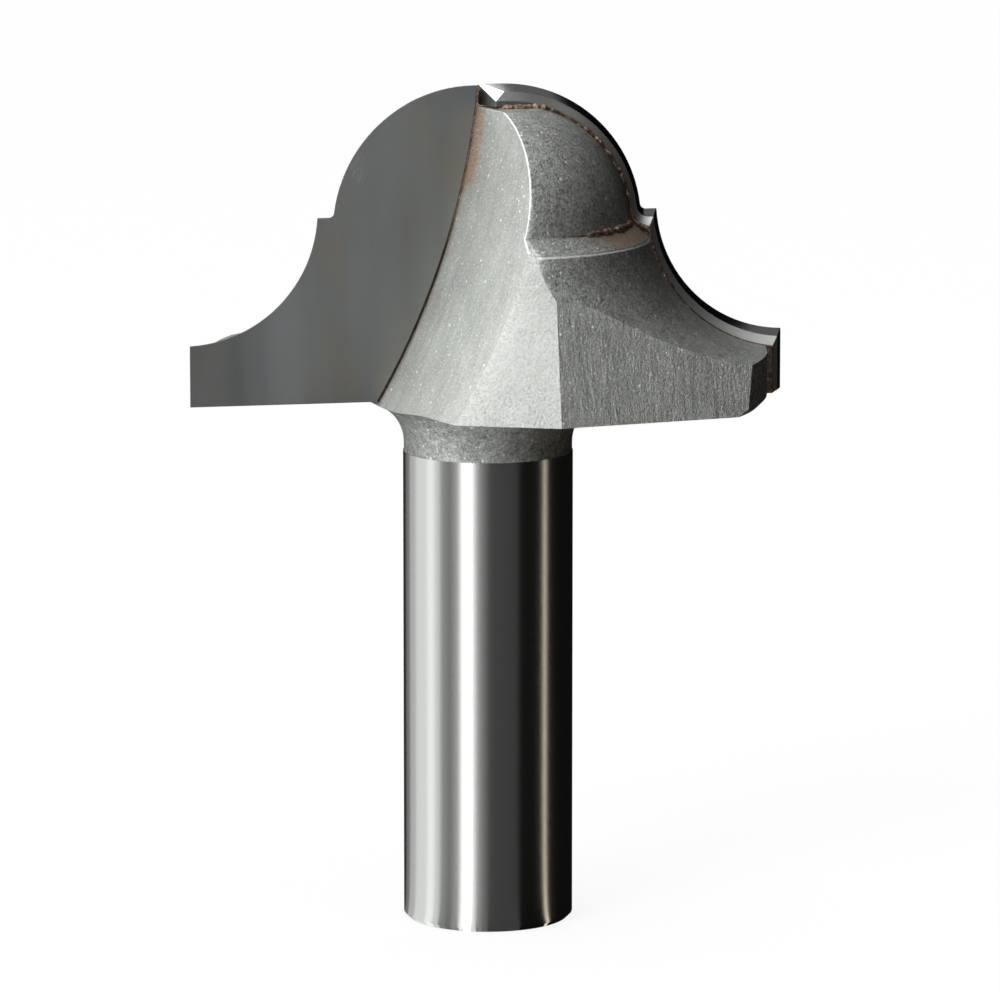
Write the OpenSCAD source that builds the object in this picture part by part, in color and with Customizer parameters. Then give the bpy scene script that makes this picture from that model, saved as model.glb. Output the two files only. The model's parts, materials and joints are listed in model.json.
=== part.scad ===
// Two-flute plunging classical ogee router bit, standing on the end of its shank.
// Z runs up the axis from the shank end; the cutting faces lie along X.

/* [Shank] */
// Diameter of the ground shank
shank_d = 12.7; // [6:0.05:20]
// Length of the ground part of the shank
ground_len = 35.6; // [20:0.2:80]
// Bevel on the edge of the shank end
end_bevel = 0.35; // [0.1:0.05:1]
// How far the blasted neck lies below the ground surface
neck_step = 0.06; // [0.02:0.01:0.3]
// Length of the blasted neck up to the underside of the head
neck_len = 3.8; // [3.6:0.1:12]
// Fillet where the neck runs into the underside of the head
neck_fillet = 3.2; // [1:0.1:3.5]

/* [Cutting profile] */
// Diameter of the cutting circle
cutter_d = 45; // [43:0.5:50]
// Height of the straight land at the cutting circle
land_h = 4.7; // [3:0.1:9]
// Radius of the cove
cove_r = 9.85; // [9:0.05:10.5]
// How far the centre of the cove lies outside the cutting circle
cove_out = 0.25; // [0:0.05:0.6]
// How far the ledge lies below the centre of the cove
ledge_drop = 0.55; // [0.2:0.05:1.5]
// Radius of the bead on the nose
bead_r = 10.6; // [9.5:0.05:10.8]
// How far the centre of the bead lies off the axis
bead_out = 1.15; // [0.8:0.05:1.3]
// How far the centre of the bead lies below the ledge
bead_sink = 1; // [0.5:0.1:2]
// Fillet in the corner between ledge and bead
corner_fillet = 0.4; // [0.2:0.05:0.6]

/* [Carbide tips] */
// Thickness of a carbide tip
tip_t = 2.2; // [1.6:0.1:2.6]
// Width of the primary relief behind the cutting edge
land_w = 1.1; // [0.6:0.1:1.4]
// Drop of the primary relief over its width
relief_1 = 0.5; // [0.2:0.05:0.6]
// Drop of the secondary relief down to the back of the tip
relief_2 = 0.6; // [0.2:0.05:0.7]
// How far each cutting face lies ahead of the axis
face_lead = 0.44; // [0:0.02:0.8]
// How far a tip stops short of the underside of the head
tip_lift = 0.1; // [0:0.05:0.5]
// How far the longer tip reaches past the axis, for plunging
nose_reach = 0.45; // [0.2:0.01:0.5]
// Angle between the end of that nose and the wall of the gullet
nose_skew = 5; // [0:1:8]
// Where the facet on that nose leaves the cutting edge, past the axis
facet_start = 0.4; // [0.2:0.05:0.45]
// Rise of the facet along the wing, per millimetre
facet_rise = 0.043; // [0.03:0.001:0.08]
// Play between the nose of the longer tip and the web under it
nose_gap = 0.1; // [0.05:0.05:0.3]
// Thickness of the braze seam round a tip
braze_t = 0.15; // [0.05:0.05:0.3]

/* [Body] */
// How far the body lies inside the cutting edge, along bead and cove
recess = 1.15; // [1.15:0.05:1.6]
// How far the rim of the body lies inside the cutting circle
rim_recess = 1.7; // [1.2:0.1:3]
// Bevel on the lower edge of the rim
rim_bevel = 0.5; // [0.2:0.05:1]
// Height of the top of the body's ledge above the centre of the bead
ledge_lift = 0.35; // [0.1:0.05:0.6]
// Fall of the sloped ledge on the body
ledge_fall = 1.2; // [0.6:0.1:1.6]
// How far the top of the web lies below the top of the body's bead
web_cut = 0.5; // [0.3:0.05:1.2]

/* [Gullets] */
// Radius of the wheel that sinks a gullet
wheel_r = 60; // [50:1:80]
// Height of the wheel centre above the tip of the bit
wheel_lift = 5.5; // [3:0.5:8]
// Half the thickness of the web at the height of the wheel centre
web_half = 0.55; // [0.45:0.05:0.9]
// Angle between a cutting face and the wall of its gullet
gullet_angle = 108; // [100:1:115]
// Angle from a cutting face's wing to the normal of the heel facet
heel_angle = 68; // [62:1:74]
// Distance of the heel facet from the axis, at the underside of the head
heel_dist = 12.5; // [11.5:0.1:14]
// Lean of the heel facet towards the axis
heel_lean = 9.2; // [4:0.2:12]
// Angle from a wing to the normal of the flat on its back
back_angle = 79; // [72:1:86]
// Distance of the back flat from the axis, at the underside of the head
back_dist = 14.8; // [13.5:0.1:17]
// Lean of the back flat towards the axis
back_lean = 10; // [0:0.2:12]

/* [Hidden] */
$fn = 160;
far = 100;
// Overlap that joins neighbouring outlines of the blank
lap = 0.01;

shank_r = shank_d / 2;
neck_r = shank_r - neck_step;
head_z = ground_len + neck_len;
cutter_r = cutter_d / 2;
cove_cx = cutter_r + cove_out;
cove_cz = head_z + land_h + sqrt(cove_r * cove_r - cove_out * cove_out);
ledge_z = cove_cz - ledge_drop;
bead_cz = ledge_z - bead_sink;
top_z = bead_cz + bead_r;
tip_z = head_z + tip_lift;
relief = relief_1 + relief_2;
fillet_z = ledge_z + corner_fillet;
fillet_u = bead_out + sqrt(pow(bead_r + corner_fillet, 2) - pow(fillet_z - bead_cz, 2));

rim_r = cutter_r - rim_recess;
body_cove_r = cove_r + recess;
body_bead_r = bead_r - recess;
web_z = bead_cz + body_bead_r - web_cut;
ledge_top_z = bead_cz + ledge_lift;
ledge_low_z = ledge_top_z - ledge_fall;
ledge_in = bead_out + sqrt(body_bead_r * body_bead_r - ledge_lift * ledge_lift);
ledge_out = cove_cx - sqrt(pow(body_cove_r, 2) - pow(cove_cz - ledge_low_z, 2));

wheel_z = top_z + wheel_lift;
wall_angle = 90 + gullet_angle;
nose_z = web_z + nose_gap;
nose_angle = wall_angle + nose_skew;
// The facet falls back so that it meets the end of the nose at the back of the tip
nose_back = -(nose_reach + sin(nose_angle) * (tip_t - face_lead)) / cos(nose_angle);
facet_fall = (relief + facet_rise * (facet_start - nose_back)) / tip_t;

// Outline of the turned blank, from the axis outwards
module body_outline() {
    // Ground shank with its bevelled end
    polygon([[0, 0], [shank_r - end_bevel, 0], [shank_r, end_bevel], [shank_r, ground_len], [0, ground_len]]);
    // Blasted neck and its fillet
    translate([0, ground_len - lap]) square([neck_r, neck_len + 2 * lap]);
    difference() {
        translate([neck_r - lap, head_z - neck_fillet]) square([neck_fillet, neck_fillet + lap]);
        translate([neck_r + neck_fillet, head_z - neck_fillet]) circle(r = neck_fillet);
    }
    // Disc that carries the cove
    difference() {
        polygon([[0, head_z], [rim_r - rim_bevel, head_z], [rim_r, head_z + rim_bevel],
                 [rim_r, ledge_low_z], [0, ledge_low_z]]);
        translate([cove_cx, cove_cz]) circle(r = body_cove_r);
    }
    // Sloped ledge
    polygon([[0, ledge_low_z - lap], [ledge_in, ledge_low_z - lap], [ledge_out, ledge_low_z],
             [ledge_in, ledge_top_z], [0, ledge_top_z]]);
    // Bead, cut level at the top of the web
    intersection() {
        union() {
            translate([bead_out, bead_cz]) circle(r = body_bead_r);
            translate([0, bead_cz]) square([bead_out, body_bead_r]);
        }
        translate([0, bead_cz]) square([far, web_z - bead_cz]);
    }
}

// Space swept by the wheel that sinks the gullet of the wing at -X
module wheel(r) {
    rotate([0, 0, wall_angle]) translate([web_half + wheel_r, 0, wheel_z])
        rotate([90, 0, 0]) cylinder(r = r, h = 2 * far, center = true);
}

// Everything in front of the plane y = limit
module in_front(limit) {
    translate([-far, limit - 2 * far, -far]) cube([2 * far, 2 * far, 3 * far]);
}

// Everything beyond an upright plane; its normal points at angle, and it leans in by lean
module beyond(angle, dist, lean) {
    rotate([0, 0, angle]) translate([dist, 0, head_z]) rotate([0, -lean, 0])
        translate([0, -far, -far]) cube([2 * far, 2 * far, 3 * far]);
}

// Block between depths s0 and s1 behind a cutting face; its outer side lies at
// u0 to u1 and its top at z0 to z1, so both can slope back
module sloped_block(s0, s1, u_in, u0, u1, z_low, z0, z1) {
    polyhedron(
        points = [[u_in, s0, z_low], [u0, s0, z_low], [u0, s0, z0], [u_in, s0, z0],
                  [u_in, s1, z_low], [u1, s1, z_low], [u1, s1, z1], [u_in, s1, z1]],
        faces = [[0, 3, 2, 1], [4, 5, 6, 7], [0, 1, 5, 4], [1, 2, 6, 5], [2, 3, 7, 6], [3, 0, 4, 7]]);
}

// Cone frustum about an axis square to a cutting face, from depth s0 to s1
module face_cone(u, z, s0, s1, r0, r1) {
    translate([u, s0, z]) rotate([-90, 0, 0]) cylinder(r1 = r0, r2 = r1, h = s1 - s0);
}

// Height where bead and corner fillet touch, on the profile set in by inset
function touch_z(inset) = bead_cz + (fillet_z - bead_cz) * (bead_r - inset) / (bead_r + corner_fillet);

// One relief layer of a carbide tip, its profile set in by in0 at s0 and in1 at s1
module relief_layer(s0, s1, in0, in1) {
    low = ledge_z - 2 * relief;
    difference() {
        union() {
            sloped_block(s0, s1, -tip_t, cutter_r - in0, cutter_r - in1, tip_z, ledge_z - in0, ledge_z - in1);
            sloped_block(s0, s1, -tip_t, bead_out, bead_out, low, top_z - in0, top_z - in1);
            face_cone(bead_out, bead_cz, s0, s1, bead_r - in0, bead_r - in1);
            difference() {
                sloped_block(s0, s1, bead_out, fillet_u, fillet_u, low, touch_z(in0), touch_z(in1));
                face_cone(fillet_u, fillet_z, s0, s1, corner_fillet + in0, corner_fillet + in1);
            }
        }
        face_cone(cove_cx, cove_cz, s0, s1, cove_r + in0, cove_r + in1);
    }
}

// Both relief layers in the place of the wing at -X, down to depth behind its face
module relieved_blade(depth) {
    mirror([1, 0, 0]) translate([0, -face_lead, 0]) {
        relief_layer(0, land_w, 0, relief_1);
        relief_layer(land_w, depth, relief_1, relief_1 + relief_2 * (depth - land_w) / (tip_t - land_w));
    }
}

// Room above the web that the nose of the longer tip reaches into
module nose_room() {
    rotate([0, 0, nose_angle]) translate([-nose_reach, -far, nose_z]) cube([far, 2 * far, far]);
}

// Everything above the facet on the nose of the longer tip
module nose_facet() {
    translate([facet_start, -face_lead, top_z])
        rotate([0, atan(norm([facet_rise, facet_fall])), atan2(facet_fall, facet_rise)])
            translate([-far, -far, 0]) cube([2 * far, 2 * far, far]);
}

// Steel body: turned blank with two gullets, two seats, two heels and two flats
module steel_body() {
    color([0.62, 0.63, 0.62]) difference() {
        rotate_extrude() body_outline();
        for (turn = [0, 180]) rotate([0, 0, turn]) {
            intersection() {
                wheel(wheel_r);
                in_front(tip_t + braze_t - face_lead);
            }
            beyond(180 + heel_angle, heel_dist, heel_lean);
            beyond(-back_angle, back_dist, back_lean);
        }
    }
}

// Carbide tip that ends at the web
module carbide_tip_short() {
    color([0.36, 0.37, 0.38]) intersection() {
        relieved_blade(tip_t);
        wheel(wheel_r - braze_t);
    }
}

// Carbide tip whose nose reaches past the axis
module carbide_tip_long() {
    color([0.36, 0.37, 0.38]) rotate([0, 0, 180]) difference() {
        intersection() {
            relieved_blade(tip_t);
            union() {
                wheel(wheel_r - braze_t);
                nose_room();
            }
        }
        nose_facet();
    }
}

// Braze behind a tip and along its inner edge
module braze_seam() {
    difference() {
        intersection() {
            relieved_blade(tip_t + braze_t);
            wheel(wheel_r);
        }
        intersection() {
            in_front(tip_t - face_lead);
            wheel(wheel_r - braze_t);
        }
    }
}

module braze_seam_short() {
    color([0.60, 0.47, 0.36]) braze_seam();
}

module braze_seam_long() {
    color([0.60, 0.47, 0.36]) rotate([0, 0, 180]) difference() {
        braze_seam();
        nose_room();
    }
}

steel_body();
carbide_tip_short();
carbide_tip_long();
braze_seam_short();
braze_seam_long();
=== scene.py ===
"""Looks of a plunging ogee router bit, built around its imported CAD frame."""

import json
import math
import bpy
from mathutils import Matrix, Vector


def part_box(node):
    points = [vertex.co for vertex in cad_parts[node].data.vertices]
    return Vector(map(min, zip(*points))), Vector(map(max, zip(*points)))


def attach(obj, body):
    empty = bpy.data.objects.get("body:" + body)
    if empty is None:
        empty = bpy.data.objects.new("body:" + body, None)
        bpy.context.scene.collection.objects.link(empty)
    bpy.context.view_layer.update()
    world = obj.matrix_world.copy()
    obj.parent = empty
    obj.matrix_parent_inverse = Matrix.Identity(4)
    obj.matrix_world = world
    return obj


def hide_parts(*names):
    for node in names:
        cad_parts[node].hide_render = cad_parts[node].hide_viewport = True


bl_info = {
    "name": "Router bit looks",
    "version": (1, 0, 0),
    "blender": (4, 5, 0),
    "location": "3D View > Sidebar > Router Bit",
    "description": "Finishes a carbide-tipped router bit and sets up its studio",
    "category": "Object",
}

import bmesh
import bpy
from bpy.props import FloatProperty, FloatVectorProperty, PointerProperty
from mathutils import Vector

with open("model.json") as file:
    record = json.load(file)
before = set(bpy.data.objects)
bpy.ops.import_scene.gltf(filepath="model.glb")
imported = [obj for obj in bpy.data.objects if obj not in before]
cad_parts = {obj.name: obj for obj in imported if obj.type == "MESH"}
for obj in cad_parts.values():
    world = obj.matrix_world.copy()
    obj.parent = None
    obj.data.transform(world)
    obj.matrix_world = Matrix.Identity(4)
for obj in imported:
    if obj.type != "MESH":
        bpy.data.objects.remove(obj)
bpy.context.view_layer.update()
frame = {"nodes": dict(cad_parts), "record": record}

MM = 0.001
SHANK = next(m for m in frame["record"]["mounts"] if m["name"] == "shank")
SHANK_R = SHANK["dims"]["r_mm"] * MM
# The foot of the tips, and how far their faces and the backs of the seams are from the middle plane
HEAD_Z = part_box("carbide_tip_short")[0].z
FACE_Y = abs(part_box("carbide_tip_short")[0].y)
BACK_Y = abs(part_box("braze_seam_short")[1].y)
# Where the stain of braze down a gullet ends, from the middle plane
RUN_EDGE = FACE_Y + 1.25 * MM
# Flanks of a seam whose normals point up by more than this share are on the outside of the head
OUTER_RISE = 0.05
# How far the beads of braze lie under the surface
RUN_SINK = 0.05 * MM
# How far noise shifts the surface of the braze
LUMP_SIZE = 0.25 * MM
# Tints that the grinding left on the cutting faces
FACE_BLUE = (0.40, 0.425, 0.425)
FACE_BROWN = (0.42, 0.40, 0.355)
# A patch of scratches on each cutting face: distance from the axis and height, in millimetres
SCRATCH_X = 9.65
SCRATCH_Z = 57
# How far the scratches and the wheel's marks in a gullet lean, in degrees
SCRATCH_LEAN = 28
WHEEL_MARK_LEAN = -24

# Angles of the normals of the milled faces round the axis, in degrees, and the least area of a plane one
GULLET_TURN = 198
HEEL_TURN = -112
FLAT_TURN = -79
PLANE_AREA = 20 * MM * MM
# How far the normal of a milled face may be off its angle, in degrees
TURN_SLACK = 0.6
# A normal with more than this share along an axis points along it
ALONG = 0.99
# The facet on a nose: the least share of its normal towards the other tip, and the least upwards
FACET_LEAN = 0.02
FACET_RISE = 0.8
# Points closer than this are one, and faces that meet at less than this angle in degrees are one plane
SAME_POINT = 0.002 * MM
SAME_PLANE = 0.2
# Faces that meet at less than this angle are shaded as one surface, in degrees
SMOOTH_ANGLE = 20
# Edges of the tips where the faces meet at more than this angle are honed, in degrees
HONED_ANGLE = 20
# The wheel that sank the gullets and the plane of the heels, in millimetres and degrees
WHEEL_R = 60
WHEEL_OUT = 60.55
WHEEL_Z = 68.5
HEEL_OUT = 12.5
HEEL_LEAN = 9.2
# The stain of braze down a gullet is narrower below this height, in millimetres
STAIN_NARROWS = 56.2
# The cutting face is darker within this distance of the gullet, in millimetres
FACE_BORDER = 5
# Where a finish, a painted shade or a darker part starts to change and where the change is complete, in
# millimetres
# Heights on the top of the heels, at the foot of the dome and down the gullets' lines and stains of braze
HEEL_TOP = (45.0, 50.5)
DOME_FOOT = (52.6, 53.2)
RUN_DARKENS = (50.5, 54.5)
STAIN_FOOT = (54.0, 55.6)
# Heights of the lower and the upper edge of the residue on the ledge, and how deep it reaches
RESIDUE_FOOT = (51.5, 51.8)
RESIDUE_TOP = (52.8, 53.1)
RESIDUE_DEPTH = (7.5, 10.0)
# Distances of the painted shade on the flank of the dome from the two middle planes
SHADE_OUT = (6.5, 10.0)
SHADE_DEPTH = (2.0, 5.5)
# Distances from the axis where the secondary relief turns from painted shade to painted light, and where the
# cutting face turns dark
NOSE_OUT = (3.0, 9.5)
WING_OUT = (13, 21)
# The inner corner of the ledge on the body
LEDGE_R = 10.59 * MM
LEDGE_Z = 52.75 * MM
# The outer edge of that ledge: distance from the axis and height, in millimetres
LEDGE_EDGE = (12.015, 51.547)
# Angles of the points of the bead on the ledge behind a cutting face, in degrees
LEDGE_ARC = range(11, 73, 2)
# How far past the seam the bead near the long tip's nose starts, and how far out it ends
NOSE_GAPS = (1.2 * MM, 0.6 * MM)
NOSE_REACH = 6 * MM
# Beads of braze: thickness as a multiple of the size below, thinnest share of it, and seed of its noise
BACK_BEAD = (1.4, 0.3, 1.0)
NOSE_BEAD = (2.3, 0.6, 3.0)
LEDGE_BEAD = (2.6, 0.5, 5.0)
# The two tips and the side of the axis that each is on
TIPS = (("short", -1), ("long", 1))


# Sizes and colours that a user would change

class BitSizes(bpy.types.PropertyGroup):
    """Sizes of the finish, in scene units."""
    # Width of the rounded edges of the steel body and of the highlight painted along them
    rounded_edge_width: FloatProperty(
        name="Worn edge", description="Width of the worn line along the edges of the steel body",
        default=0.19 * MM, min=0.01 * MM, unit="LENGTH")
    heel_round: FloatProperty(
        name="Heel rounding", description="Width of the soft border between gullet and heel",
        default=1.6 * MM, min=0.1 * MM, unit="LENGTH")
    hone: FloatProperty(
        name="Cutting edge hone", description="Width of the honed strip on the carbide edges",
        default=0.04 * MM, min=0.005 * MM, unit="LENGTH")
    ground_top: FloatProperty(
        name="Top of the ground shank", description="Height where the ground surface ends",
        default=35.6 * MM, unit="LENGTH")
    land_width: FloatProperty(
        name="Primary land", description="Width of the primary relief of the tips",
        default=1.1 * MM, unit="LENGTH")
    run_thickness: FloatProperty(
        name="Braze run", description="Thickness of the beads of braze along the seams",
        default=0.3 * MM, min=0.05 * MM, unit="LENGTH")


class BitFinishes(bpy.types.PropertyGroup):
    """Colours of the finishes."""
    steel: FloatVectorProperty(
        name="Steel", description="Colour of the blasted steel",
        subtype="COLOR", size=3, default=(0.50, 0.515, 0.49))
    shank: FloatVectorProperty(
        name="Ground shank", description="Colour of the ground steel",
        subtype="COLOR", size=3, default=(0.66, 0.675, 0.65))
    carbide: FloatVectorProperty(
        name="Carbide", description="Colour of the ground carbide",
        subtype="COLOR", size=3, default=(0.40, 0.41, 0.395))
    braze: FloatVectorProperty(
        name="Braze", description="Colour of the braze and its stain",
        subtype="COLOR", size=3, default=(0.34, 0.25, 0.19))


# Shader maths

class Wire:
    """A socket, so that shader maths reads as Python."""

    def __init__(self, sheet, socket):
        self.sheet = sheet
        self.socket = socket

    def _math(self, operation, *others):
        return self.sheet.node("Math", {"operation": operation}, (self, *others))

    def __add__(self, other):
        return self._math("ADD", other)

    def __sub__(self, other):
        return self._math("SUBTRACT", other)

    def __mul__(self, other):
        return self._math("MULTIPLY", other)

    def __truediv__(self, other):
        return self._math("DIVIDE", other)

    def __rsub__(self, other):
        return self.sheet.node("Math", {"operation": "SUBTRACT"}, (other, self))

    __radd__ = __add__
    __rmul__ = __mul__

    def between(self, low, high):
        """0 below low, 1 above high, smooth in between."""
        settings = {"interpolation_type": "SMOOTHSTEP"}
        return self.sheet.node("MapRange", settings, {"Value": self, "From Min": low, "From Max": high})

    def size(self):
        """The value without its sign."""
        return self._math("ABSOLUTE")

    def positive(self):
        """1 above 0, and 0 below it but for a short step that keeps the border smooth."""
        return self.between(-0.02, 0)

    def sign(self):
        return self._math("SIGN")

    def root(self):
        return self._math("SQRT")

    def above(self, low):
        """The value, and low where it is less."""
        return self._math("MAXIMUM", low)

    def clamp(self):
        """The value kept between 0 and 1."""
        return self.sheet.node("Clamp", {}, {"Value": self})


class Sheet:
    """A material's node tree with short ways to add nodes."""

    def __init__(self, name):
        self.material = bpy.data.materials.new(name)
        self.material.use_nodes = True
        self.tree = self.material.node_tree
        self.tree.nodes.clear()

    def node(self, kind, settings=None, inputs=(), output=0):
        """A node of that kind; its settings come first, then its sockets."""
        made = self.tree.nodes.new("ShaderNode" + kind)
        for key, value in (settings or {}).items():
            setattr(made, key, value)
        pairs = inputs.items() if isinstance(inputs, dict) else enumerate(inputs)
        for key, value in pairs:
            self._feed(made, key, value)
        return Wire(self, made.outputs[output]) if made.outputs else None

    def _feed(self, made, key, value):
        socket = made.inputs[key]
        if isinstance(value, Wire):
            self.tree.links.new(value.socket, socket)
        elif socket.type == "RGBA" and len(value) == 3:
            socket.default_value = (*value, 1)
        else:
            socket.default_value = value

    def place(self, scale=(1, 1, 1), turn=(0, 0, 0)):
        """Object coordinates in millimetres, scaled and turned."""
        own = self.node("TexCoord", output="Object")
        settings = {"vector_type": "TEXTURE"}
        size = [MM / s for s in scale]
        return self.node("Mapping", settings, {"Vector": own, "Rotation": turn, "Scale": size})

    def axis(self, vector, index):
        return self.node("SeparateXYZ", {}, {"Vector": vector}, output=index)

    def axes(self, vector):
        return tuple(self.axis(vector, index) for index in range(3))

    def noise(self, vector, scale, detail=3.0, roughness=0.55):
        """Noise around 0.5; a larger scale makes it finer."""
        inputs = {"Vector": vector, "Scale": scale, "Detail": detail, "Roughness": roughness}
        return self.node("TexNoise", {}, inputs)

    def specks(self, vector, scale, share):
        """1 on a few random cells of that size, 0 elsewhere."""
        cells = self.node("TexVoronoi", {}, {"Vector": vector, "Scale": scale}, output="Color")
        near = self.node("TexVoronoi", {}, {"Vector": vector, "Scale": scale}, output="Distance")
        level = self.axis(cells, 0).between(1 - share, 1 - share * 0.6)
        return level * (1 - near.between(0.15, 0.45))

    def attribute(self, name):
        """A finish that the mesh's faces carry, 1 where a face has it."""
        return self.node("Attribute", {"attribute_name": name}, output="Fac")

    def mix(self, factor, a, b):
        """Colours a and b mixed by factor."""
        return self.node("MixRGB", {}, {"Fac": factor, "Color1": a, "Color2": b})

    def shade(self, colour, level):
        """The colour made lighter or darker by level."""
        grey = self.node("CombineColor", {}, (level, level, level))
        settings = {"blend_type": "MULTIPLY"}
        return self.node("MixRGB", settings, {"Fac": 1.0, "Color1": colour, "Color2": grey})

    def bump(self, height):
        """The normal of a surface raised by a height in millimetres."""
        return self.node("Bump", {}, {"Strength": 1.0, "Distance": MM, "Height": height}, output="Normal")

    def surface(self, **inputs):
        """The Principled shader on the material's output; returns the material."""
        named = {key.replace("_", " "): value for key, value in inputs.items()}
        shader = self.node("BsdfPrincipled", {}, named)
        self.show(shader)
        return self.material

    def show(self, shader):
        """Puts the shader on the material's output."""
        self.node("OutputMaterial", {}, {"Surface": shader})


# Materials

def from_wheel(x, y, z):
    """Distance from the surface that the wheel left, and the side of the axis, for either gullet."""
    across = x * math.cos(math.radians(GULLET_TURN)) + y * math.sin(math.radians(GULLET_TURN))
    out = WHEEL_OUT - across.size()
    up = z - WHEEL_Z
    return (out * out + up * up).root() - WHEEL_R, across.sign()


def soft_border(s, place, width):
    """Depth of the soft border between a gullet and its heel, in millimetres."""
    x, y, z = s.axes(place)
    wheel, side = from_wheel(x, y, z)
    turn, lean = math.radians(HEEL_TURN), math.radians(HEEL_LEAN)
    out = (x * math.cos(turn) + y * math.sin(turn)) * side
    heel = (HEEL_OUT - out) * math.cos(lean) - (z - HEAD_Z / MM) * math.sin(lean)
    near = (width - wheel.size() - heel.size()).above(0)
    return near * near * (0.25 / width)


def rounded_edge_highlight(s, place, width):
    """1 on the edges that the gullets and the ledge leave, falling to 0 at width from them; it places the
    rounding bump and the painted highlight along those edges.
    """
    x, y, z = s.axes(place)
    wheel, side = from_wheel(x, y, z)
    own_flute = 1 - (y * side).positive()
    out = (x * x + y * y).root() - LEDGE_EDGE[0]
    up = z - LEDGE_EDGE[1]
    ledge = (out * out + up * up).root()
    return (own_flute * (1 - wheel.size() / width).above(0) + (1 - ledge / width).above(0)).clamp()


def painted_flank_shade(s, place, turned):
    """Painted shade on the flank of the dome behind a tip."""
    x, y, z = s.axes(place)
    near_tip = 1 - y.size().between(*SHADE_DEPTH)
    behind_tip = 1 - (x * y).positive()
    return turned * behind_tip * near_tip * x.size().between(*SHADE_OUT) * z.between(*DOME_FOOT)


def steel_material(finishes, sizes):
    """Blasted head and neck, wheel-sunk gullets, milled heels and flats, and a ground shank."""
    s = Sheet("turned_steel")
    place = s.place()
    gullet = s.attribute("gullet")
    heel = s.attribute("heel")
    flat = s.attribute("flat")
    ground = s.attribute("ground")
    blasted = 1 - ground
    turned = (1 - gullet - heel - flat).above(0) * blasted
    nearness = rounded_edge_highlight(s, place, sizes.rounded_edge_width / MM) * turned
    # line is a painted highlight along the rounded edges, added to the level further below
    line = nearness.between(0.3, 0.7)
    grain = s.noise(place, 4.6, 4.0, 0.8)
    pits = s.noise(place, 9.0, 2.0, 0.6)
    patches = s.noise(place, 0.3, 3.0)
    glints = s.noise(place, 7.0, 2.0).between(0.61, 0.68)
    wheel_turn = (0, math.radians(WHEEL_MARK_LEAN), math.radians(GULLET_TURN))
    wheel_place = s.place(scale=(1, 1, 0.12), turn=wheel_turn)
    wheel_marks = s.noise(wheel_place, 1.6, 3.0, 0.6)
    mill_marks = s.noise(s.place(scale=(1, 1, 0.07)), 2.4, 3.0, 0.65)
    rings = s.noise(s.place(scale=(0.02, 0.02, 14)), 1.0, 3.0, 0.7)
    coarse = 0.85 - 0.45 * gullet + 0.15 * heel - 0.10 * flat
    # The heels' higher level is partly their milled finish and partly painted light on these up-facing planes
    level = 0.80 + 0.08 * gullet + 0.95 * heel + 0.24 * flat
    level = level + coarse * (grain - 0.5) * 2.3 + 0.36 * (patches - 0.5) + 1.2 * coarse * glints
    level = level + 0.40 * gullet * (wheel_marks - 0.5) + 0.8 * flat * (mill_marks - 0.5)
    level = level + 1.8 * coarse * s.specks(place, 3.2, 0.05)
    level = level + turned * (0.9 * (grain - 0.5) + 0.9 * (s.noise(place, 1.5, 3.0) - 0.5) + 0.10)
    # The heels are darker towards their top
    heel_top = heel * s.axis(place, 2).between(*HEEL_TOP)
    # Painted shade darkens the flank of the dome behind each tip
    level = level * (1 - 0.78 * painted_flank_shade(s, place, turned)) * (1 - 0.13 * heel_top) + 1.1 * line
    steel = s.shade(finishes.steel, level)
    shank = s.shade(finishes.shank, 0.94 + 0.10 * rings)
    colour = s.mix(ground, steel, shank)
    tan = s.shade(finishes.braze, 0.4 + 1.7 * grain + 1.2 * glints)
    colour = s.mix(braze_stain(s, place, gullet) * blasted, colour, tan)
    rough = 0.42 - 0.16 * glints + 0.08 * (gullet + heel + flat)
    rough = rough * blasted + ground * (0.16 + 0.06 * rings)
    dents = 0.11 * (coarse + 0.6 * heel) * (grain + 0.5 * pits) + 0.08 * flat * mill_marks
    dents = (dents - soft_border(s, place, sizes.heel_round / MM)) * blasted
    dents = dents - 0.5 * (sizes.rounded_edge_width / MM) * nearness * nearness
    return s.surface(
        Base_Color=colour, Metallic=1.0, Roughness=rough.clamp(),
        Normal=s.bump(dents + 0.003 * ground * rings))


def braze_stain(s, place, gullet):
    """Where braze has run over the steel: down the gullet beside a face, behind a tip, on the ledge."""
    x, y, z = s.axes(place)
    depth = y.size()
    behind_tip = 1 - (x * y).positive()
    edge = s.noise(place, 1.4, 4.0, 0.7) - 0.5
    narrowing = 0.8 * (STAIN_NARROWS - z).above(0)
    reach = depth + 2.4 * edge + narrowing
    beside = gullet * (1 - reach.between(RUN_EDGE / MM - 0.35, RUN_EDGE / MM + 0.35))
    beside = 0.85 * beside * (z + 3 * edge).between(*STAIN_FOOT)
    behind = behind_tip * (1 - (depth + 1.2 * edge).between(BACK_Y / MM + 0.15, BACK_Y / MM + 0.35))
    behind = behind * z.between(HEAD_Z / MM + 0.2, HEAD_Z / MM + 0.6)
    on_ledge = (z + edge).between(*RESIDUE_FOOT) * (1 - (z + edge).between(*RESIDUE_TOP))
    on_ledge = on_ledge * behind_tip * (1 - (depth + 6 * edge).between(*RESIDUE_DEPTH))
    return (beside + behind + on_ledge * (1 - gullet)).clamp()


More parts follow.
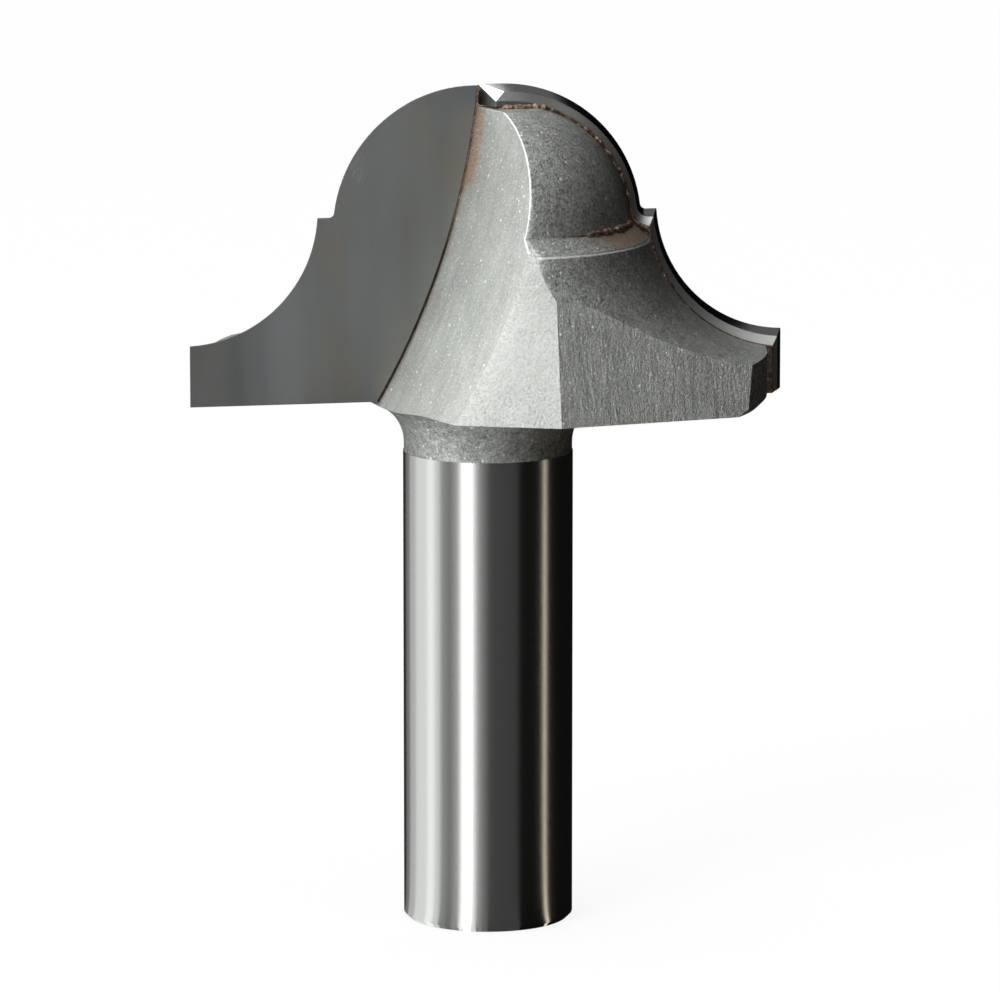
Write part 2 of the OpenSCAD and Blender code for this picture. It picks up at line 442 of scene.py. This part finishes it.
def carbide_material(finishes):
    """Ground carbide: smooth grey faces, polished primary lands, duller secondary ones."""
    s = Sheet("ground_carbide")
    place = s.place()
    x, y, z = s.axes(place)
    front = s.attribute("front")
    second = s.attribute("second")
    painted_glint_facet = s.attribute("painted_glint_facet")
    streaks = s.noise(s.place(scale=(0.35, 0.35, 0.03)), 1.0, 3.0, 0.5)
    cloud = s.noise(place, 0.16, 2.0)
    fine = s.noise(s.place(scale=(9, 9, 1.2)), 1.0, 2.0)
    wheel, _ = from_wheel(x, y, z)
    shade = 1 - 0.34 * x.size().between(*WING_OUT) - 0.24 * (1 + wheel / FACE_BORDER).above(0)
    scratch_place = s.place(scale=(10, 1, 0.8), turn=(0, math.radians(SCRATCH_LEAN), 0))
    across, up = x.size() - SCRATCH_X, z - SCRATCH_Z
    spot = 1 - (across * across + 0.4 * up * up).between(0.15, 0.9)
    scratches = s.noise(scratch_place, 1.0, 3.0, 0.7).between(0.54, 0.62) * spot
    face = (1.22 + 0.30 * streaks + 0.20 * cloud) * shade + 0.5 * scratches
    # The secondary relief is painted dark near the nose and bright further out: painted shade and painted
    # light
    outward = x.size().between(*NOSE_OUT)
    # The facet on a nose is painted near white by the last term: a painted highlight
    lands = 0.45 + second * (1.5 * outward + 0.3 * fine - 0.15) + 2.2 * painted_glint_facet
    level = front * face + (1 - front) * lands + 0.06 * fine
    rough = 0.15 + front * (0.15 + 0.06 * streaks) + second * 0.26 + 0.05 * fine
    bands = s.noise(s.place(scale=(0.22, 0.22, 0.05)), 1.0, 3.0, 0.5).between(0.40, 0.62)
    cool = s.mix(bands, finishes.carbide, FACE_BLUE)
    warm = s.noise(s.place(scale=(0.16, 0.16, 0.10)), 1.0, 2.0).between(0.48, 0.62)
    colour = s.mix(front, finishes.carbide, s.mix(warm * (1 - bands), cool, FACE_BROWN))
    return s.surface(
        Base_Color=s.shade(colour, level), Metallic=1.0, Roughness=rough,
        Normal=s.bump(0.002 * fine * (1 - painted_glint_facet)))


def braze_material(finishes):
    """Dull brown braze, mottled, with small gleams, darker lower down the gullets."""
    s = Sheet("dull_braze")
    place = s.place()
    lumps = s.noise(place, 2.4, 4.0, 0.65)
    gleams = s.noise(place, 5.0, 3.0).between(0.58, 0.66)
    x, y, z = s.axes(place)
    lower_run_darkening = (x * y).positive() * (1 - z.between(*RUN_DARKENS))
    level = (1.7 * lumps + 1.2 * gleams - 0.15) * (1 - 0.8 * lower_run_darkening)
    return s.surface(
        Base_Color=s.shade(finishes.braze, level), Metallic=1.0, Roughness=0.34 + 0.2 * lumps,
        Normal=s.bump(0.10 * lumps))


# Meshes

def copy_of(node):
    """The CAD node's mesh, merged and with its flat faces joined, as a bmesh."""
    bm = bmesh.new()
    bm.from_mesh(frame["nodes"][node].data)
    bmesh.ops.remove_doubles(bm, verts=bm.verts, dist=SAME_POINT)
    bmesh.ops.dissolve_limit(bm, angle_limit=math.radians(SAME_PLANE), verts=bm.verts, edges=bm.edges)
    return bm


def azimuth(vector):
    """Angle of a vector round the axis of the bit, in degrees from 0 to 180 for either flute."""
    return math.degrees(math.atan2(vector.y, vector.x)) % 180


def milled(face, turn, least_area):
    """Whether a face of the head was left by the cutter whose faces point at that angle."""
    high = face.calc_center_median().z > HEAD_Z - MM
    level = abs(face.normal.z) > ALONG
    off = abs(azimuth(face.normal) - turn % 180)
    return high and not level and min(off, 180 - off) < TURN_SLACK and face.calc_area() > least_area


def hone(bm, width):
    """Cuts a narrow strip along each sharp edge."""
    limit = math.radians(HONED_ANGLE)
    edges = [e for e in bm.edges if e.is_manifold and e.calc_face_angle(0) > limit]
    bmesh.ops.bevel(
        bm, geom=edges, offset=width, offset_type="OFFSET", segments=1, profile=0.5,
        affect="EDGES", clamp_overlap=True)


def wheel_normal(place):
    """Normal of the surface that the wheel left, at a place on it."""
    turn = math.radians(GULLET_TURN)
    out = Vector((math.cos(turn), math.sin(turn), 0))
    across = place.dot(out)
    if across < 0:
        across, out = -across, -out
    return (out * (WHEEL_OUT * MM - across) + Vector((0, 0, WHEEL_Z * MM - place.z))).normalized()


def even_normals(bm):
    """A normal for each corner: the mean over the faces of one smooth surface, weighed by area."""
    smooth = math.radians(SMOOTH_ANGLE)
    gullet = bm.faces.layers.float.get("gullet")
    areas = {face: face.calc_area() for face in bm.faces}
    normals = []
    for face in bm.faces:
        for vert in face.verts:
            if gullet and face[gullet] == 1:
                normals.append(wheel_normal(vert.co))
                continue
            near = [f for f in vert.link_faces if f is face or f.normal.angle(face.normal, 0) < smooth]
            normals.append(sum((f.normal * areas[f] for f in near), Vector()).normalized())
    return normals


def finished(name, bm, material, slot, *nodes):
    """The bmesh as an object that stands for those CAD nodes."""
    mesh = bpy.data.meshes.new(name)
    bmesh.ops.recalc_face_normals(bm, faces=bm.faces)
    normals = even_normals(bm)
    bm.to_mesh(mesh)
    bm.free()
    mesh.shade_smooth()
    mesh.normals_split_custom_set(normals)
    mesh.materials.append(material)
    piece = bpy.data.objects.new(name, mesh)
    bpy.context.scene.collection.objects.link(piece)
    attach(piece, "root")
    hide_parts(*nodes)
    return piece


# Pieces

class OBJECT_OT_bit_body(bpy.types.Operator):
    """Finishes the turned and milled steel body."""
    bl_idname = "object.bit_body"
    bl_label = "Steel body"

    def execute(self, context):
        sizes = context.scene.bit_sizes
        bm = copy_of("steel_body")
        finish = {n: bm.faces.layers.float.new(n) for n in ("gullet", "heel", "flat", "ground")}
        for face in bm.faces:
            face[finish["ground"]] = float(face.calc_center_median().z < sizes.ground_top)
            face[finish["gullet"]] = float(milled(face, GULLET_TURN, 0))
            face[finish["heel"]] = float(milled(face, HEEL_TURN, PLANE_AREA))
            face[finish["flat"]] = float(milled(face, FLAT_TURN, PLANE_AREA))
        material = steel_material(context.scene.bit_finishes, sizes)
        finished("turned_body", bm, material, "steel", "steel_body")
        return {"FINISHED"}


class OBJECT_OT_bit_tips(bpy.types.Operator):
    """Finishes the two carbide tips."""
    bl_idname = "object.bit_tips"
    bl_label = "Carbide tips"

    def execute(self, context):
        sizes = context.scene.bit_sizes
        material = carbide_material(context.scene.bit_finishes)
        for which, side in TIPS:
            bm = copy_of("carbide_tip_" + which)
            hone(bm, sizes.hone)
            finish = {n: bm.faces.layers.float.new(n) for n in ("front", "second", "painted_glint_facet")}
            for face in bm.faces:
                depth = FACE_Y - side * face.calc_center_median().y
                facet = -side * face.normal.x > FACET_LEAN and face.normal.z > FACET_RISE
                face[finish["front"]] = float(side * face.normal.y > ALONG)
                face[finish["second"]] = float(depth > sizes.land_width)
                # The facet on each nose carries a painted highlight
                face[finish["painted_glint_facet"]] = float(facet)
            finished("ground_tip_" + which, bm, material, "carbide", "carbide_tip_" + which)
        return {"FINISHED"}


def run_tree(material):
    """Nodes that lay an uneven bead of braze along a path."""
    tree = bpy.data.node_groups.new("braze_run", "GeometryNodeTree")
    face = tree.interface
    face.new_socket("Geometry", in_out="INPUT", socket_type="NodeSocketGeometry")
    for name, default in (("Thickness", 0.3 * MM), ("Step", 0.07 * MM), ("Thinnest", 0.3), ("Seed", 0.0)):
        face.new_socket(name, in_out="INPUT", socket_type="NodeSocketFloat").default_value = default
    face.new_socket("Geometry", in_out="OUTPUT", socket_type="NodeSocketGeometry")

    def node(kind, settings=None, **sockets):
        made = tree.nodes.new(kind)
        for key, value in (settings or {}).items():
            setattr(made, key, value)
        for key, value in sockets.items():
            numbered = key[0] == "i" and key[1:].isdigit()
            socket = made.inputs[int(key[1:]) if numbered else key.replace("_", " ")]
            if isinstance(value, bpy.types.NodeSocket):
                tree.links.new(value, socket)
            else:
                socket.default_value = value
        return made.outputs[0]

    smooth = {"interpolation_type": "SMOOTHSTEP"}
    start = tree.nodes.new("NodeGroupInput")
    path = node("GeometryNodeMeshToCurve", Mesh=start.outputs["Geometry"])
    path = node("GeometryNodeResampleCurve", {"mode": "LENGTH"}, Curve=path, Length=start.outputs["Step"])
    waves = node("ShaderNodeTexNoise", {"noise_dimensions": "4D"},
                 W=start.outputs["Seed"], Scale=1.1 / MM, Detail=3.0)
    uneven = node("ShaderNodeMapRange", Value=waves, From_Min=0.35, From_Max=0.65,
                  To_Min=start.outputs["Thinnest"], To_Max=1.0)
    along = node("GeometryNodeSplineParameter")
    taper = {"To_Min": 0.05, "To_Max": 1.0}
    far = node("ShaderNodeMapRange", smooth, Value=along, From_Min=1.0, From_Max=0.55, **taper)
    near = node("ShaderNodeMapRange", smooth, Value=along, From_Min=0.0, From_Max=0.12, **taper)
    ends = node("ShaderNodeMath", {"operation": "MULTIPLY"}, i0=far, i1=near)
    share = node("ShaderNodeMath", {"operation": "MULTIPLY"}, i0=uneven, i1=ends)
    half = node("ShaderNodeMath", {"operation": "MULTIPLY"}, i0=start.outputs["Thickness"], i1=0.5)
    ring = node("GeometryNodeCurvePrimitiveCircle", Resolution=10, Radius=half)
    bead = node("GeometryNodeCurveToMesh", Curve=path, Profile_Curve=ring, Scale=share, Fill_Caps=True)
    rough = node("ShaderNodeTexNoise", Scale=2.6 / MM, Detail=3.0).node.outputs["Color"]
    centred = node("ShaderNodeVectorMath", {"operation": "SUBTRACT"}, i0=rough, i1=(0.5, 0.5, 0.5))
    offset = node("ShaderNodeVectorMath", {"operation": "SCALE"}, Vector=centred, Scale=LUMP_SIZE)
    bead = node("GeometryNodeSetPosition", Geometry=bead, Offset=offset)
    whole = node("GeometryNodeRealizeInstances", Geometry=bead)
    painted = node("GeometryNodeSetMaterial", Geometry=whole, Material=material)
    tree.links.new(painted, tree.nodes.new("NodeGroupOutput").inputs[0])
    return tree


def run_mesh(points, tree, **values):
    """The mesh that the braze-run nodes make along those points."""
    path = bpy.data.meshes.new("run_path")
    path.from_pydata(points, [(i, i + 1) for i in range(len(points) - 1)], [])
    carrier = bpy.data.objects.new("run_path", path)
    bpy.context.scene.collection.objects.link(carrier)
    modifier = carrier.modifiers.new("braze_run", "NODES")
    modifier.node_group = tree
    for item in tree.interface.items_tree:
        if item.in_out == "INPUT" and item.name in values:
            modifier[item.identifier] = values[item.name]
    ready = carrier.evaluated_get(bpy.context.evaluated_depsgraph_get())
    mesh = bpy.data.meshes.new_from_object(ready)
    bpy.data.objects.remove(carrier)
    return mesh


def seam_line(bm, side):
    """Points just inside the line where a seam comes out behind its tip, from the nose outwards."""
    back = max(bm.faces, key=lambda f: -side * f.normal.y * f.calc_area())
    loops = list(back.loops)
    flanks = [next(f for f in loop.edge.link_faces if f is not back) for loop in loops]
    outer = [f.normal.z > OUTER_RISE for f in flanks]
    first = next(i for i in range(len(loops)) if outer[i] and not outer[i - 1])
    points = []
    for i in range(first, first + len(loops)):
        if not outer[i % len(loops)]:
            break
        for vert in loops[i % len(loops)].edge.verts:
            points.append(vert.co - flanks[i % len(loops)].normal * RUN_SINK)
    points = [p - Vector((0, side * RUN_SINK, 0)) for p in points]
    return sorted(points, key=lambda p: (round(side * p.x, 6), -p.z))


class OBJECT_OT_bit_braze(bpy.types.Operator):
    """Makes the braze seams with the beads that ran out of them."""
    bl_idname = "object.bit_braze"
    bl_label = "Braze"

    def execute(self, context):
        thickness = context.scene.bit_sizes.run_thickness
        material = braze_material(context.scene.bit_finishes)
        tree = run_tree(material)
        for which, side in TIPS:
            bm = copy_of("braze_seam_" + which)
            line = seam_line(bm, side)
            ledge = []
            for behind in LEDGE_ARC:
                angle = math.radians(90 - 90 * side - behind)
                ledge.append((LEDGE_R * math.cos(angle), LEDGE_R * math.sin(angle), LEDGE_Z))
            # Only the long tip reaches over the web, so only its bead starts further in
            inward = [line[0] - Vector((side * gap, 0, 0)) for gap in NOSE_GAPS if which == "long"]
            near_nose = inward + [p for p in line if side * p.x < NOSE_REACH]
            runs = []
            for points, bead in ((line, BACK_BEAD), (near_nose, NOSE_BEAD), (ledge, LEDGE_BEAD)):
                factor, thinnest, seed = bead
                runs.append(run_mesh(
                    points, tree, Thickness=factor * thickness, Thinnest=thinnest, Seed=seed + side))
            for mesh in runs:
                bm.from_mesh(mesh)
            finished("brazed_seam_" + which, bm, material, "braze", "braze_seam_" + which)
        return {"FINISHED"}


# Stage

CAMERA_PLACE = Vector((-0.09098, -0.47401, 0.11641))
CAMERA_TILT = math.radians(80.051)
CAMERA_TURN = math.radians(-10.972)
CAMERA_LENS = 235.75
SENSOR = 36.0

# Cards round the bit: angle from the camera where each starts, in degrees (left is minus), and its light
CARDS = (
    (-150, 0.2), (-134, 0.6), (-116, 0.95), (-91, 1.28), (-78, 0.85), (-68, 0.3), (-58, 0.2), (-49, 0.34),
    (-39, 1.2), (-33, 3.2), (-23, 1.0), (-16, 0.3), (-8, 0.17), (-1, 0.06), (42, 0.0),
)
# A dim tube at the right, below the height of the head: start and end angle, light, height and colour
TUBE = (81, 86.5, 1.1)
TUBE_TOP = 0.002
TUBE_COLOUR = (1, 0.84, 0.68)
# Colour of all other light
WHITE = (1, 1, 1)
# Levels of light on the panels above the cards
FAINT = 0.4
DIM = 0.8
SOFT = 1.5
BRIGHT = 2.7
GLINT = 5.5
# Those panels: name, start and end angle, lowest and highest elevation in degrees, light
PANELS = (
    ("side_low", -135, -90, 14, 39, BRIGHT),
    ("front_gap", -90, -45, 14, 39, DIM),
    ("front_left", -45, 0, 14, 39, BRIGHT),
    ("front_right", 0, 45, 14, 39, DIM),
    ("rear_high", -180, -135, 39, 64, SOFT),
    ("side_high", -135, -90, 39, 64, BRIGHT),
    ("front_high", -90, -45, 39, 64, BRIGHT),
    ("back_high", 135, 180, 39, 64, FAINT),
    ("top", -180, 180, 68, 90, SOFT),
    ("right_high", 90, 135, 45, 64, DIM),
    ("nose_glint", 169, 179, 57, 67, GLINT),
)
# The tent's outline: distance from the axis and height, from the foot of the bit to the top
TENT = ((0.0056, 0.00003), (0.05, 0.0002), (0.30, 0.0004), (0.30, 0.125))
CEILING = ((0.30, 0.125), (0.25, 0.40), (0.001, 0.45))
# The panels stand on a sphere: its radius and the height of its middle, and the rows of points in each
PANEL_R = 0.28
PANEL_MIDDLE = 0.05
PANEL_ROWS = 5
# How far each panel stands inside the one before it, so that no two lie in the same place
PANEL_STEP = 0.001
# Light of the dark tent behind the cards and panels
TENT_LIGHT = 0.005
# Keeps the points at the top of the sphere apart
TOP_GAP = 1e-5
# Half the side of the floor, in metres, and the share of it that shows white instead of matt
FLOOR_REACH = 6.0
FLOOR_WHITE = 0.85
# The lamp at the upper left: place, size and power, and the place that it points at
LAMP_PLACE = (-0.5, -0.45, 0.45)
LAMP_SIZE = (0.3, 0.5)
LAMP_POWER = 2.4
LAMP_AIM = Vector((0, 0, 0.04))
# Nearest and furthest that the camera sees
CAMERA_CLIP = (0.01, 50)
# How far the cards stand inside the tent, as a share
CARD_SHRINK = 0.97
# Widest step between the points of a card or a panel, in degrees
CARD_STEP = 3


def glow_material(name, strength, colour=WHITE):
    """A material that only gives light."""
    s = Sheet(name)
    s.show(s.node("Emission", {}, {"Color": colour, "Strength": strength}))
    return s.material


def floor_material():
    """A pale floor: white to the eye, with the bit's shadow on it."""
    s = Sheet("pale_floor")
    path = s.node("LightPath", output="Is Camera Ray")
    glossy = s.node("LightPath", output="Is Glossy Ray")
    through = s.node("LightPath", output="Is Transmission Ray")
    seen = (path + glossy + through).clamp()
    matt = s.node("BsdfDiffuse", {}, {"Color": (0.9, 0.9, 0.9)})
    white = s.node("Emission", {}, {"Color": WHITE, "Strength": 1.0})
    s.show(s.node("MixShader", {}, (seen * FLOOR_WHITE, matt, white)))
    return s.material


def card_angle(angle, radius):
    """Where a ray that leaves the shank at that angle meets the card at that radius."""
    return angle - math.degrees(math.asin(SHANK_R / radius * math.sin(math.radians(angle) / 2)))


def card_strip(name, start, end, outline, shrink, material):
    """A card between two angles that only reflections see, along the outline of the tent."""
    steps = max(2, int(abs(end - start) / CARD_STEP))
    rows = []
    for radius, height in outline:
        reach = SHANK_R + (radius - SHANK_R) * shrink
        edge = [card_angle(start + (end - start) * i / steps, max(radius, SHANK_R)) for i in range(steps + 1)]
        rows.append([(reach, angle, height / shrink) for angle in edge])
    return reflected_sheet(name, rows, material)


def panel(name, start, end, low, high, radius, material):
    """A panel of a dome round the head that only reflections see."""
    steps = max(2, int(abs(end - start) / CARD_STEP))
    rows = []
    for j in range(PANEL_ROWS):
        elevation = math.radians(low + (high - low) * j / (PANEL_ROWS - 1))
        reach = radius * math.cos(elevation) + TOP_GAP
        height = PANEL_MIDDLE + radius * math.sin(elevation)
        rows.append([(reach, start + (end - start) * i / steps, height) for i in range(steps + 1)])
    return reflected_sheet(name, rows, material)


def reflected_sheet(name, rows, material):
    """A sheet through rows of points given as distance, angle from the camera and height."""
    turn = math.radians(-90) + CAMERA_TURN
    vertices, faces = [], []
    for row in rows:
        for reach, angle, height in row:
            angle = turn + math.radians(angle)
            vertices.append((reach * math.cos(angle), reach * math.sin(angle), height))
    wide = len(rows[0])
    for j in range(len(rows) - 1):
        for i in range(wide - 1):
            low = j * wide + i
            faces.append((low, low + 1, low + wide + 1, low + wide))
    mesh = bpy.data.meshes.new(name)
    mesh.from_pydata(vertices, [], faces)
    mesh.materials.append(material)
    sheet = bpy.data.objects.new(name, mesh)
    bpy.context.scene.collection.objects.link(sheet)
    for way in ("camera", "diffuse", "transmission", "volume_scatter", "shadow"):
        setattr(sheet, "visible_" + way, False)
    return sheet


def key_lamp():
    """The lamp that lights the matt surfaces and casts the shadow."""
    data = bpy.data.lights.new("key_lamp", "AREA")
    data.shape = "RECTANGLE"
    data.size, data.size_y = LAMP_SIZE
    data.energy = LAMP_POWER
    lamp = bpy.data.objects.new("key_lamp", data)
    lamp.location = LAMP_PLACE
    lamp.rotation_euler = (LAMP_AIM - Vector(LAMP_PLACE)).to_track_quat("-Z", "Y").to_euler()
    bpy.context.scene.collection.objects.link(lamp)


class OBJECT_OT_bit_stage(bpy.types.Operator):
    """Sets up the floor, the cards, the panels, the lamp and the camera."""
    bl_idname = "object.bit_stage"
    bl_label = "Stage"

    def execute(self, context):
        mesh = bpy.data.meshes.new("floor")
        corners = [(x * FLOOR_REACH, y * FLOOR_REACH, 0) for x, y in ((-1, -1), (1, -1), (1, 1), (-1, 1))]
        mesh.from_pydata(corners, [], [(0, 1, 2, 3)])
        mesh.materials.append(floor_material())
        floor = bpy.data.objects.new("floor", mesh)
        context.scene.collection.objects.link(floor)

        dark = glow_material("dark_tent", TENT_LIGHT)
        card_strip("tent", -180, 180, TENT, 1.0, dark)
        card_strip("ceiling", -180, 180, CEILING, 1.0, dark)
        for (start, light), (end, _) in zip(CARDS, CARDS[1:]):
            name = f"card_{start}"
            card_strip(name, start, end, TENT, CARD_SHRINK, glow_material(name, light))
        start, end, light = TUBE
        low = TENT[:-1] + ((TENT[-1][0], TUBE_TOP),)
        card_strip("tube", start, end, low, CARD_SHRINK, glow_material("tube", light, TUBE_COLOUR))
        for i, (name, start, end, low, high, light) in enumerate(PANELS):
            radius = PANEL_R - i * PANEL_STEP
            panel(name, start, end, low, high, radius, glow_material(name, light))
        key_lamp()

        world = bpy.data.worlds.new("studio")
        world.use_nodes = True
        world.node_tree.nodes["Background"].inputs["Color"].default_value = (1, 1, 1, 1)
        world.node_tree.nodes["Background"].inputs["Strength"].default_value = 1.0
        context.scene.world = world

        data = bpy.data.cameras.new("camera")
        data.sensor_width = SENSOR
        data.lens = CAMERA_LENS
        data.clip_start, data.clip_end = CAMERA_CLIP
        camera = bpy.data.objects.new("camera", data)
        camera.location = CAMERA_PLACE
        camera.rotation_euler = (CAMERA_TILT, 0, CAMERA_TURN)
        context.scene.collection.objects.link(camera)
        context.scene.camera = camera
        context.scene.view_settings.view_transform = "Standard"
        return {"FINISHED"}


class VIEW3D_PT_bit(bpy.types.Panel):
    """Lists the bit's sizes, finishes and steps."""
    bl_label = "Router bit"
    bl_space_type = "VIEW_3D"
    bl_region_type = "UI"
    bl_category = "Router Bit"

    def draw(self, context):
        for group in (context.scene.bit_sizes, context.scene.bit_finishes):
            box = self.layout.box()
            for name in group.__annotations__:
                box.prop(group, name)
        for step in STEPS:
            self.layout.operator(step.bl_idname)


STEPS = (OBJECT_OT_bit_body, OBJECT_OT_bit_tips, OBJECT_OT_bit_braze, OBJECT_OT_bit_stage)
CLASSES = (BitSizes, BitFinishes, *STEPS, VIEW3D_PT_bit)


def register():
    for one in CLASSES:
        bpy.utils.register_class(one)
    bpy.types.Scene.bit_sizes = PointerProperty(type=BitSizes)
    bpy.types.Scene.bit_finishes = PointerProperty(type=BitFinishes)


def unregister():
    del bpy.types.Scene.bit_finishes
    del bpy.types.Scene.bit_sizes
    for one in reversed(CLASSES):
        bpy.utils.unregister_class(one)


def main():
    register()
    bpy.ops.object.bit_body()
    bpy.ops.object.bit_tips()
    bpy.ops.object.bit_braze()
    bpy.ops.object.bit_stage()


if __name__ == "__main__":
    main()
